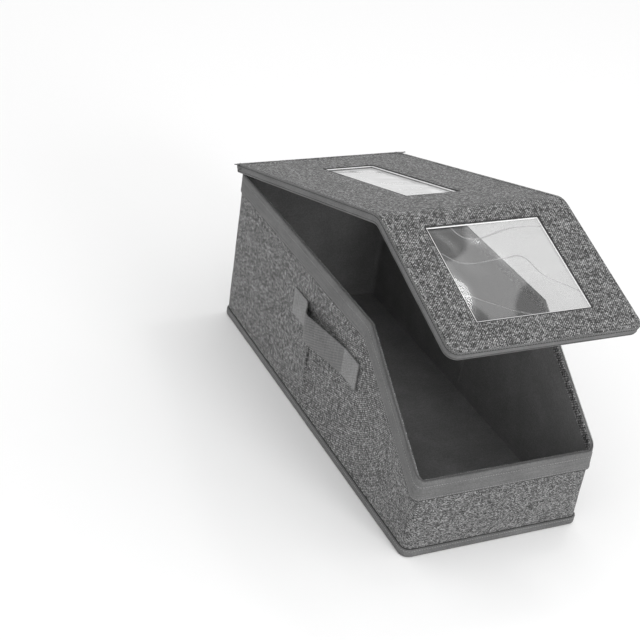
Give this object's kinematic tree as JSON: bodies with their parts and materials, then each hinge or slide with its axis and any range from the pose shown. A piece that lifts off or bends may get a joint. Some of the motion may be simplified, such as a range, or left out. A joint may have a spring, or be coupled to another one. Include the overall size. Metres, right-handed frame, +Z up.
{
  "type": "baseball cap carrier case",
  "caption": "Stiffened fabric storage case for caps, low at the front and tall at the back, with a zipped windowed lid, side handles and a label pocket.",
  "frame": {"origin": "centre of the flat base, on the surface that the case stands on", "axes": "+Z up, +Y from the low front towards the tall hinged back, +X towards the side with the label pocket"},
  "size_m": [0.2774, 0.5884, 0.3571],
  "materials": {
    "woven_fabric": "coarse mottled grey weave",
    "grosgrain_tape": "smooth grey tape",
    "webbing": "woven strap, stitched",
    "zip_coil": "nylon coil",
    "clear_film": "glossy clear film",
    "card": "blank white card",
    "bright_metal": "bright plated"
  },
  "bodies": {
    "case": {"body_shell": "woven_fabric", "base_tape": "grosgrain_tape", "rim_tape": "grosgrain_tape", "zip_coil_body": "zip_coil", "hinge_tape": "grosgrain_tape", "left_handle": "webbing", "right_handle": "webbing", "label_frame": "grosgrain_tape", "label_card": "card", "label_window": "clear_film", "left_slider": "bright_metal", "right_slider": "bright_metal"},
    "lid": {"lid_front_panel": "woven_fabric", "lid_top_panel": "woven_fabric", "lid_tape": "grosgrain_tape", "zip_coil_lid": "zip_coil", "hinge_strip": "grosgrain_tape", "front_window": "clear_film", "top_window": "clear_film"},
    "left_pull": {"left_pull": "bright_metal"},
    "right_pull": {"right_pull": "bright_metal"}
  },
  "joints": [
    {"name": "lid_hinge", "type": "hinge", "parent": "case", "child": "lid", "pos_m": [0, 0.2823, 0.224], "axis": [-1, 0, 0], "range_deg": [-17.5, 162.5]},
    {"name": "left_pull_swing", "type": "hinge", "parent": "case", "child": "left_pull", "pos_m": [-0.1, 0.2873, 0.2075], "axis": [1, 0, 0], "range_deg": [-8, 90]},
    {"name": "right_pull_swing", "type": "hinge", "parent": "case", "child": "right_pull", "pos_m": [0.1, 0.2873, 0.2075], "axis": [1, 0, 0], "range_deg": [-8, 90]}
  ]
}
